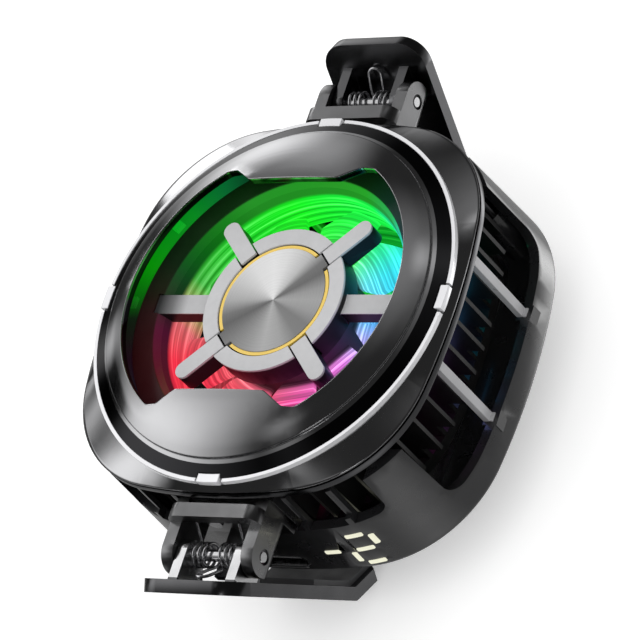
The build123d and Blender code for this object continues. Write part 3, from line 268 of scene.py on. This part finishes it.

# The coloured lights of the fan, by share of a turn. They are emission: a real glow on the light guide, and painted
# light on the rotor, duct, fins and motor base
glow = {
    "turn": (
        (0.00, (0.06, 0.45, 0.97)), (0.04, (0.03, 0.58, 0.97)), (0.09, (0.03, 0.78, 0.90)),
        (0.13, (0.02, 0.85, 0.45)), (0.18, (0.008, 0.90, 0.07)), (0.30, (0.008, 0.86, 0.015)),
        (0.38, (0.010, 0.55, 0.018)), (0.45, (0.03, 0.35, 0.03)), (0.485, (0.30, 0.28, 0.10)),
        (0.51, (0.60, 0.10, 0.12)), (0.56, (0.80, 0.025, 0.055)), (0.66, (0.84, 0.02, 0.065)),
        (0.75, (0.88, 0.03, 0.18)), (0.84, (0.86, 0.05, 0.46)), (0.91, (0.76, 0.14, 0.78)),
        (0.96, (0.45, 0.36, 0.95)), (1.00, (0.06, 0.45, 0.97)),
    ),
    # The same for the smooth wall above the rotor, as painted light that the wall takes up
    "wall": (
        (0.00, (0.02, 0.30, 0.50)), (0.08, (0.03, 0.45, 0.50)), (0.125, (0.02, 0.26, 0.08)),
        (0.18, (0.015, 0.30, 0.015)), (0.34, (0.013, 0.26, 0.014)), (0.40, (0.001, 0.15, 0.004)),
        (0.46, (0.001, 0.05, 0.008)), (0.50, (0.008, 0.010, 0.009)), (0.53, (0.060, 0.001, 0.022)),
        (0.60, (0.070, 0.003, 0.012)), (0.75, (0.12, 0.003, 0.03)), (0.88, (0.12, 0.02, 0.10)),
        (0.96, (0.04, 0.05, 0.20)), (1.00, (0.02, 0.30, 0.50)),
    ),
    "reach": (8.0, 26.0),  # radii that the stops of near lie between
    "rise": (14.0, 36.0),  # heights that the stops of level and calm lie between
    "streak": ((0.30, 0.45), (0.50, 1.0), (0.66, 1.6)),
    "streakDetail": 4.0,
    "highlightSpan": (0.52, 0.70),
    "hubHighlight": 0.12,
    "grain": 300.0, "darkLow": 0.006, "darkHigh": 0.010,
}
# A zone lets the painted light through where its stops along radius, height and turn all do
glowLooks = {
    "rotorLit": {
        "rings": 2200.0, "rows": 0.0, "along": 3.0, "white": 0.6,
        "highlightNear": ((10.9, 1.0), (12.2, 0.55), (14.0, 0.16), (17.5, 0.03)),
        "zones": ({"near": ((8.0, 0.0), (10.2, 0.05), (10.9, 0.85), (18.4, 0.95))},),
        "strength": 1.0, "glowTint": 0.02, "rough": 0.5, "gloss": 0.05,
    },
    "guideLit": {
        "rings": 300.0, "rows": 900.0, "along": 4.0, "white": 0.1, "calm": ((28.2, 0.0), (28.6, 1.0)),
        "strength": 0.9, "glowTint": 0.02, "rough": 0.5, "gloss": 0.05,
    },
    "baseLit": {
        "rings": 2200.0, "rows": 0.0, "along": 3.0, "white": 0.1,
        "zones": (
            {"near": ((19.5, 0.8), (20.8, 0.0)), "level": ((16.6, 0.9), (17.8, 0.9), (18.6, 0.0))},
            {"near": ((21.4, 0.8), (22.8, 0.0)), "level": ((16.6, 0.9), (21.0, 0.9), (23.0, 0.0)),
             "turn": ((0.15, 0.0), (0.20, 1.0), (0.38, 1.0), (0.43, 0.0))},
        ),
        "strength": 0.6, "glowTint": 0.0, "rough": 0.35, "gloss": 0.4,
    },
    "ductLit": {
        "rings": 300.0, "rows": 1600.0, "along": 3.0, "white": 0.12, "calm": ((27.8, 0.0), (28.3, 1.0)),
        "zones": ({"near": ((20.30, 1.0), (20.45, 0.0)), "level": ((30.75, 1.0), (30.95, 0.0))},),
        "strength": 1.0, "glowTint": 0.05, "rough": 0.3, "gloss": 0.25,
    },
}


def zoneLight(tree, zone, turn, radius, height):
    share = 1.0
    if "near" in zone:
        share = multiply(tree, share, levelAlong(tree, radius, glow["reach"], zone["near"]))
    if "level" in zone:
        share = multiply(tree, share, levelAlong(tree, height, glow["rise"], zone["level"]))
    if "turn" in zone:
        share = multiply(tree, share, ramp(tree, turn, zone["turn"]))
    return share


# The colour runs round the fan, in streaks along the turning, as painted light; the glow tint puts a little of it
# into the base colour
def glowFinish(name, look):
    material, tree, shader = startFinish(name, look)
    parts = placeParts(tree)
    turn, radius, height = turnOf(tree, parts), radiusOf(tree, parts), parts["Z"]
    colour = ramp(tree, turn, glow["turn"])
    across = calc(tree, "ADD", times(tree, radius, look["rings"]), times(tree, height, look["rows"]))
    streakPlace = addNode(tree, "ShaderNodeCombineXYZ", {"X": across, "Y": times(tree, turn, look["along"])})
    streak = noise(tree, streakPlace.outputs[0], 1.0, glow["streakDetail"])
    lit = multiply(tree, colour, ramp(tree, streak, glow["streak"]))
    # The white in the streaks is a painted highlight, stronger toward the hub on the rotor
    white = ramp(tree, streak, ((glow["highlightSpan"][0], 0.0), (glow["highlightSpan"][1], look["white"])))
    if "highlightNear" in look:
        near = levelAlong(tree, radius, glow["reach"], look["highlightNear"])
        white = mixColour(tree, 1.0, multiply(tree, white, near), multiply(tree, near, glow["hubHighlight"]), "ADD")
    lit = mixColour(tree, 1.0, lit, white, "ADD")
    if "calm" in look:
        calm = levelAlong(tree, height, glow["rise"], look["calm"])
        lit = mixColour(tree, calm, lit, ramp(tree, turn, glow["wall"]))
    shares = [zoneLight(tree, zone, turn, radius, height) for zone in look.get("zones", ())]
    if shares:
        through = shares[0]
        for share in shares[1:]:
            through = mixColour(tree, 1.0, through, share, "LIGHTEN")
        lit = multiply(tree, lit, through)
    tree.links.new(lit, shader.inputs["Emission Color"])
    dark = cloudy(tree, glow["grain"], glow["darkLow"], glow["darkHigh"])
    tree.links.new(mixColour(tree, look["glowTint"], dark, colour), shader.inputs["Base Color"])
    return material


for name, look in glowLooks.items():
    finishes[name] = glowFinish(name, look)

# The board behind the window glows with painted light over part of its ring, and its lamps glow more of it
boardLook = {
    "turn": (
        (0.0, (0.0, 0.05, 0.06)), (0.12, (0.0, 0.03, 0.02)), (0.15, (0.002, 0.05, 0.01)),
        (0.22, (0.002, 0.03, 0.004)), (0.33, (0.001, 0.02, 0.01)), (0.36, (0.001, 0.14, 0.03)),
        (0.40, (0.001, 0.24, 0.012)), (0.46, (0.001, 0.26, 0.001)), (0.495, (0.001, 0.10, 0.002)),
        (0.515, (0.003, 0.01, 0.003)), (0.56, (0.01, 0.001, 0.006)), (1.0, (0.0, 0.05, 0.06)),
    ),
    "base": (0.010, 0.012, 0.010), "cloud": 120.0, "fade": 0.85, "strength": 1.0, "rough": 0.35, "gloss": 0.3,
    "lifts": {"boardLit": 1.0, "ledLit": 1.6},
}


def boardFinish(name, look, lift):
    material, tree, shader = startFinish(name, look)
    cover = cloudy(tree, look["cloud"], look["fade"] * lift, lift)
    lit = multiply(tree, ramp(tree, turnOf(tree, placeParts(tree)), look["turn"]), cover)
    tree.links.new(lit, shader.inputs["Emission Color"])
    tree.links.new(multiply(tree, look["base"], cover), shader.inputs["Base Color"])
    return material


for name, lift in boardLook["lifts"].items():
    finishes[name] = boardFinish(name, boardLook, lift)

# The hub and its spokes are satin grey in front; their sides are painted black as shade, and the tops of the level
# spokes carry painted shade toward their left ends
hubLook = {
    "span": (28.0, 33.0),
    "front": ((31.55, 0.0), (31.75, 1.0)),
    "beam": ((30.50, 0.0), (30.62, 1.0), (30.74, 1.0), (30.80, 0.0)),  # top of the two level spokes
    "beamHalf": 1.6,
    "across": (-22.0, 22.0),
    # Painted shade: the tops of the level spokes darken toward their left ends
    "shade": ((-20.5, 0.05), (-18.0, 0.35), (-15.5, 0.95), (0.0, 1.0), (22.0, 0.9)),
    "grey": (0.60, 0.60, 0.61), "fade": 0.94, "satin": 700.0, "sideShade": (0.010, 0.010, 0.011),
    "rough": 0.36, "gloss": 0.15,
}


def hubFinish(name, look):
    material, tree, shader = startFinish(name, look)
    parts = placeParts(tree)
    front = levelAlong(tree, parts["Z"], look["span"], look["front"])
    beam = levelAlong(tree, parts["Z"], look["span"], look["beam"])
    beam = multiply(tree, beam, levelAlong(tree, parts["X"], look["across"], look["shade"]))
    inBeam = calc(tree, "LESS_THAN", calc(tree, "ABSOLUTE", parts["Y"]), look["beamHalf"] * mm)
    top = mixColour(tree, 1.0, front, multiply(tree, beam, inBeam), "ADD")
    grey = cloudy(tree, look["satin"], scaled(look["grey"], look["fade"]), look["grey"])
    tree.links.new(mixColour(tree, top, look["sideShade"], grey), shader.inputs["Base Color"])
    return material


finishes["hubGrey"] = hubFinish("hubGrey", hubLook)

# The readout glows a warm white
readoutLook = {
    "colour": (0.88, 0.87, 0.68), "fade": 0.92, "spot": 900.0, "spotDetail": 2.0,
    "base": (0.02, 0.02, 0.018), "strength": 1.0, "rough": 0.4,
}


def readoutFinish(name, look):
    material, tree, shader = startFinish(name, look)
    tone = cloudy(tree, look["spot"], scaled(look["colour"], look["fade"]), look["colour"], look["spotDetail"])
    tree.links.new(tone, shader.inputs["Emission Color"])
    shader.inputs["Base Color"].default_value = channels(look["base"])
    return material


finishes["readoutLit"] = readoutFinish("readoutLit", readoutLook)

# The disc is brushed round its own centre; the fan-shaped sheen such brushing has is a painted highlight in its base
# colour, by share of a turn
discLook = {
    "paintedSheen": (
        (0.0, 0.42), (0.04, 0.36), (0.09, 0.16), (0.125, 0.20), (0.17, 0.60), (0.25, 0.86), (0.30, 0.93),
        (0.37, 0.86), (0.45, 0.60), (0.50, 0.46), (0.55, 0.20), (0.585, 0.14), (0.64, 0.24), (0.72, 0.38),
        (0.77, 0.50), (0.83, 0.42), (0.88, 0.24), (0.92, 0.22), (0.96, 0.36), (1.0, 0.42),
    ),
    "rings": 9000.0, "ringDetail": 5.0, "line": 0.78, "bump": 0.12, "depth": 0.02,
    "metal": 0.12, "rough": 0.32, "brushing": 0.85,
}


def brushedFinish(name, look):
    material, tree, shader = startFinish(name, look)
    parts = placeParts(tree)
    ringPlace = addNode(tree, "ShaderNodeCombineXYZ", {"X": times(tree, radiusOf(tree, parts), look["rings"])})
    rings = noise(tree, ringPlace.outputs[0], 1.0, look["ringDetail"])
    line = ramp(tree, rings, ((noiseSpan[0], look["line"]), (noiseSpan[1], 1.0)))
    # Painted sheen, bright and dark fans by share of a turn
    paintedSheen = ramp(tree, turnOf(tree, parts), look["paintedSheen"])
    tree.links.new(multiply(tree, paintedSheen, line), shader.inputs["Base Color"])
    tangent = addNode(tree, "ShaderNodeTangent", direction_type="RADIAL", axis="Z")
    tree.links.new(tangent.outputs["Tangent"], shader.inputs["Tangent"])
    values = {"Strength": look["bump"], "Distance": look["depth"] * mm, "Height": rings}
    tree.links.new(addNode(tree, "ShaderNodeBump", values).outputs["Normal"], shader.inputs["Normal"])
    return material


finishes["discBrushed"] = brushedFinish("discBrushed", discLook)
print("lit and brushed surfaces made")

nodeFinish = {
    "front_bezel": "blackChrome", "trim_ring": "brightTrim", "ring_tabs": "brightTrim", "mid_frame": "bandMetal",
    "rear_shell": "shellGloss", "vent_bars": "barPaint", "heat_sink": "baseLit", "fan_duct": "ductLit",
    "light_guide": "guideLit", "led_board": "boardLit", "leds": "ledLit", "fan_guard": "hubGrey",
    "hub_ring": "hubGrey", "hub_disc": "discBrushed", "accent_arcs": "yellowAccent", "motor_base": "baseLit",
    "bearing_sleeve": "brassTurned", "stator_core": "steelTurned", "stator_coils": "copperWire",
    "fan_rotor": "rotorLit", "rotor_shaft": "steelTurned", "rotor_magnet": "magnetGrey",
    "tec_module": "ceramicWhite", "tec_gasket": "foamBlack", "cold_plate": "plateMetal",
    "contact_pad": "siliconeGrey", "usb_socket": "steelTurned", "usb_tongue": "ductBlack",
    "control_board": "circuitGreen", "display_module": "ductBlack", "display_segments": "readoutLit",
    "case_screws": "steelTurned", "clip_lever_top": "leverBlack", "clip_lever_bottom": "leverLugged",
}
for end in ("top", "bottom"):
    nodeFinish.update({
        "clip_bracket_" + end: "bracketMetal", "bracket_screws_" + end: "steelTurned",
        "clip_pin_" + end: "pinChrome", "jaw_pad_" + end: "siliconeGrey", "clip_spring_" + end: "springChrome",
    })
for name, finish in nodeFinish.items():
    for slot in nodes[name].material_slots:
        slot.material = finishes[finish]
print("finishes given to", len(nodeFinish), "nodes")

# Rounded edges on what the tools left sharp
edges = {
    "clip_lever_top": 0.6, "clip_lever_bottom": 0.6, "clip_bracket_top": 0.16, "clip_bracket_bottom": 0.16,
    "fan_guard": 0.14, "vent_bars": 0.12, "ring_tabs": 0.08, "hub_ring": 0.12, "rear_shell": 0.12, "mid_frame": 0.12,
}
rounding = {"weld": 0.01, "segments": 3, "sharp": 40}
for name, width in edges.items():
    weld = nodes[name].modifiers.new("weld", "WELD")
    weld.merge_threshold = rounding["weld"] * mm
    bevel = nodes[name].modifiers.new("bevel", "BEVEL")
    bevel.width = width * mm
    bevel.segments = rounding["segments"]
    bevel.limit_method = "ANGLE"
    bevel.angle_limit = radians(rounding["sharp"])
    bevel.harden_normals = True
print("edges rounded on", len(edges), "nodes")

# Each spring is two wound parts that stay with the body and a loop that rides on its lever.
# Angles are in degrees about the pin, from straight out, and outer and inner are the ends of a winding.
spring = {
    "pinOut": 36.2, "pinZ": 25.2, "wire": 0.225, "coil": 1.65, "outer": 3.62, "inner": 0.72, "turns": 3, "step": 15,
    "leg": 214.9, "legLength": 4.35, "legShares": (1.0, 0.66, 0.33),
    "strand": 317.0, "lap": 60.0, "lapSteps": 4, "reach": 4.8, "straightShares": (0.35, 0.7, 1.0),
    "loop": 1.05, "loopTurns": (30, 60), "loopExtra": 0.003,
    "order": 4, "smooth": 3, "round": 3,  # how finely the curve and the wire's round are drawn
}


def coilPoint(sense, angle, across):
    out = spring["pinOut"] + spring["coil"] * cos(radians(angle))
    up = spring["pinZ"] + spring["coil"] * sin(radians(angle))
    return Vector((sense * across, sense * out, up)) * mm


# The way that wire leaves the winding at an angle
def leaving(sense, angle):
    return Vector((0, sense * -sin(radians(angle)), cos(radians(angle))))


def wirePiece(name, points, radius, body, node):
    bpy.ops.curve.primitive_nurbs_path_add()
    piece = bpy.context.object
    piece.name = name
    curve = piece.data
    curve.splines.clear()
    spline = curve.splines.new("NURBS")
    spline.points.add(len(points) - 1)
    for point, place in zip(spline.points, points):
        point.co = (*place, 1)
    spline.order_u = spring["order"]
    spline.use_endpoint_u = True
    spline.resolution_u = spring["smooth"]
    curve.bevel_depth = radius * mm
    curve.bevel_resolution = spring["round"]
    curve.use_fill_caps = True
    bpy.ops.object.convert(target="MESH")
    piece = bpy.context.object
    bpy.ops.object.shade_smooth()
    piece.select_set(False)
    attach(piece, body)
    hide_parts(node)
    piece.data.materials.append(finishes["springChrome"])


# A straight leg, then the turns from the outer end of the winding to the inner
def coilPoints(sense, side):
    total = 360 * spring["turns"] + spring["strand"] - spring["leg"]
    steps = int(total / spring["step"])
    start = coilPoint(sense, spring["leg"], side * spring["outer"])
    legWay = leaving(sense, spring["leg"])
    points = [start - legWay * spring["legLength"] * share * mm for share in spring["legShares"]]
    for step in range(steps + 1):
        share = step / steps
        across = spring["outer"] + (spring["inner"] - spring["outer"]) * share
        points.append(coilPoint(sense, spring["leg"] + total * share, side * across))
    return points


# Half of the loop, from the inner end of one winding nearly to the tip, and the tip itself
def halfLoop(sense, side):
    points = []
    for step in range(spring["lapSteps"] + 1):
        angle = spring["strand"] - spring["lap"] * (1 - step / spring["lapSteps"])
        points.append(coilPoint(sense, angle, side * spring["inner"]))
    heading = leaving(sense, spring["strand"])
    root = coilPoint(sense, spring["strand"], side * spring["loop"])
    straight = spring["reach"] - spring["loop"]
    points += [root + heading * straight * share * mm for share in spring["straightShares"]]
    for turn in spring["loopTurns"]:
        onward = heading * (straight + spring["loop"] * sin(radians(turn)))
        inward = Vector((sense * side * spring["loop"] * (1 - cos(radians(turn))), 0, 0))
        points.append(root + onward * mm - inward * mm)
    tip = root + heading * spring["reach"] * mm
    tip.x = 0
    return points, tip


for sense, end in ((1, "top"), (-1, "bottom")):
    for side, hand in ((1, "Right"), (-1, "Left")):
        wirePiece("springCoil_" + end + hand, coilPoints(sense, side), spring["wire"], "body", "clip_spring_" + end)
    right, tip = halfLoop(sense, 1)
    left, tip = halfLoop(sense, -1)
    wirePiece("springLoop_" + end, right + [tip] + left[::-1], spring["wire"] + spring["loopExtra"],
              "lever_" + end, "clip_spring_" + end)
print("springs wound")

# Floor, lamps and world, in metres
studio = {
    "floorSize": 6.0, "floorLow": 0.96, "floorHigh": 0.97, "paper": 3.0, "paperDetail": 2.0, "floorLift": 0.30,
    "floorLook": {"rough": 0.9, "gloss": 0.1}, "worldLevel": 1.0, "aim": (0, 0, 0.03),
    "lamps": {
        "sideLamp": {"place": (-0.95, 0.62, 0.30), "size": (0.40, 0.35), "power": 0.8},
        "frontLamp": {"place": (0.35, -0.95, 0.75), "size": (0.3, 0.5), "power": 0.6},
    },
}
bpy.ops.mesh.primitive_plane_add(size=studio["floorSize"], location=(0, 0, 0))
floorPiece = bpy.context.object
floorPiece.name = "studioFloor"
floorMaterial, floorTree, floorShader = startFinish("floorPaper", studio["floorLook"])
paper = cloudy(floorTree, studio["paper"], studio["floorLow"], studio["floorHigh"], studio["paperDetail"])
floorTree.links.new(paper, floorShader.inputs["Base Color"])
floorShader.inputs["Emission Color"].default_value = channels(1)
seen = addNode(floorTree, "ShaderNodeLightPath").outputs["Is Camera Ray"]  # whitens what the camera sees of it
floorTree.links.new(times(floorTree, seen, studio["floorLift"]), floorShader.inputs["Emission Strength"])
floorPiece.data.materials.append(floorMaterial)
floorPiece.visible_glossy = False

world = bpy.data.worlds.new("studioWorld")
bpy.context.scene.world = world
world.use_nodes = True
background = world.node_tree.nodes["Background"]
background.inputs["Color"].default_value = channels(1)
background.inputs["Strength"].default_value = studio["worldLevel"]

for name, look in studio["lamps"].items():
    bpy.ops.object.light_add(type="AREA", location=look["place"])
    lamp = bpy.context.object
    lamp.name = name
    lamp.data.shape = "RECTANGLE"
    lamp.data.size, lamp.data.size_y = look["size"]
    lamp.data.energy = look["power"]
    lamp.rotation_euler = (Vector(studio["aim"]) - Vector(look["place"])).to_track_quat("-Z", "Y").to_euler()

# The tent, in metres, is what gloss and polish mirror: dark above, grey below, with soft panels.
# A panel lies toward a direction, fades out over its reach, and darkens where its level is negative.
tent = {
    "size": 2.6, "segments": 48, "rings": 24, "above": 0.03, "below": 0.28, "edge": (-0.25, -0.10),
    "look": {"rough": 1.0},
    "panels": {
        "lugPanel": {"toward": (-0.80, -0.05, 0.58), "reach": (0.68, 0.70, 0.68), "level": 1.4},
        "cornerFlag": {"toward": (-0.97, 0.06, 0.25), "reach": (0.22, 0.22, 0.22), "level": -1.2},
        "flankFlag": {"toward": (-0.86, 0.11, 0.50), "reach": (0.17, 0.17, 0.17), "level": -1.0},
        "topPanel": {"toward": (-0.54, 0.76, 0.32), "reach": (0.25, 0.5, 0.6), "level": 0.5},
        "upperPanel": {"toward": (-0.69, 0.71, 0.02), "reach": (0.24, 0.30, 0.45), "level": 1.4},
        "flatPanel": {"toward": (-0.59, 0.38, 0.71), "reach": (0.20, 0.20, 0.20), "level": 1.0},
        "leftPanel": {"toward": (-0.96, 0.26, 0.10), "reach": (0.12, 0.12, 0.16), "level": 0.6},
        "ceiling": {"toward": (0.0, 0.5, 0.85), "reach": (0.55, 0.50, 0.50), "level": 0.28},
        "rightPatch": {"toward": (0.17, 0.57, 0.80), "reach": (0.15, 0.15, 0.15), "level": 0.4},
        "sliver": {"toward": (-0.25, -0.26, 0.93), "reach": (0.16, 0.16, 0.16), "level": 0.3},
        "farFloor": {"toward": (0.28, 0.68, -0.68), "reach": (0.5, 0.5, 0.5), "level": 2.4},
        "nearFloor": {"toward": (0.38, -0.62, -0.68), "reach": (0.45, 0.45, 0.45), "level": 0.45},
    },
}
bpy.ops.mesh.primitive_uv_sphere_add(
    segments=tent["segments"], ring_count=tent["rings"], radius=tent["size"], location=(0, 0, 0))
tentPiece = bpy.context.object
tentPiece.name = "studioTent"
bpy.ops.object.shade_smooth()
tentMaterial, tentTree, tentShader = startFinish("tentCloth", tent["look"])


def vectorStep(operation, first, second=(0, 0, 0), output="Vector"):
    return addNode(tentTree, "ShaderNodeVectorMath", {0: first, 1: second}, operation=operation).outputs[output]


toward = vectorStep("NORMALIZE", objectPlace(tentTree))
height = addNode(tentTree, "ShaderNodeSeparateXYZ", {"Vector": toward}).outputs["Z"]
light = mapRange(tentTree, height, tent["edge"], (tent["below"], tent["above"]))
for look in tent["panels"].values():
    offset = vectorStep("SUBTRACT", toward, look["toward"])
    away = vectorStep("LENGTH", vectorStep("DIVIDE", offset, look["reach"]), output="Value")
    panel = mapRange(tentTree, away, (0.0, 1.0), (look["level"], 0.0), interpolation_type="SMOOTHSTEP")
    light = calc(tentTree, "ADD", light, panel)
light = calc(tentTree, "MAXIMUM", light, 0.0)
tentShader.inputs["Base Color"].default_value = channels(0)
tentShader.inputs["Emission Color"].default_value = channels(1)
tentTree.links.new(light, tentShader.inputs["Emission Strength"])
tentPiece.data.materials.append(tentMaterial)
for kind in ("camera", "diffuse", "shadow", "transmission"):
    setattr(tentPiece, "visible_" + kind, False)
print("studio set")
